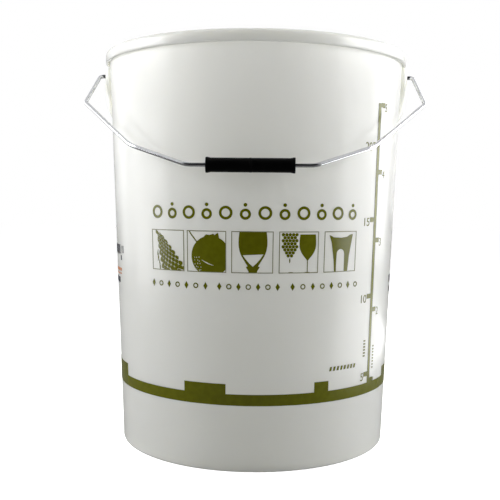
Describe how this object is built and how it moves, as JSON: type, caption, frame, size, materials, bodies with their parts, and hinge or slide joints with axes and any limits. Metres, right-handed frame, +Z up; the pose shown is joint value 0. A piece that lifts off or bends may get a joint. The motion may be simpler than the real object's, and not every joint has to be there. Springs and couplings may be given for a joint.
{
  "type": "plastic fermenting bucket",
  "caption": "Tall tapered open plastic fermenting bucket with a flanged rim, printed volume scale, side lugs and a swinging wire bail with a turning black grip.",
  "frame": {"origin": "centre of the foot ring, on the surface the bucket stands on", "axes": "+Z up along the tub's axis, +X through the right-hand handle lug, -Y the side where the bail hangs and the print faces"},
  "size_m": [0.3486, 0.3244, 0.4066],
  "materials": {
    "bucket_plastic": "natural white polypropylene, satin moulded skin",
    "wire_steel": "bright zinc-plated drawn wire",
    "grip_plastic": "black moulded polyethylene, satin",
    "print_ink": "olive green screen-printed ink"
  },
  "bodies": {
    "tub": {"bucket_body": "bucket_plastic"},
    "bail": {"bail_wire": "wire_steel"},
    "grip": {"grip_tube": "grip_plastic"}
  },
  "joints": [
    {"name": "bail_swing", "type": "hinge", "parent": "tub", "child": "bail", "pos_m": [0, 0, 0.3869], "axis": [-1, 0, 0], "range_deg": [0, 245.2]},
    {"name": "grip_spin", "type": "hinge", "parent": "bail", "child": "grip", "pos_m": [0, -0.15821, 0.28572], "axis": [1, 0, 0], "continuous": true}
  ]
}
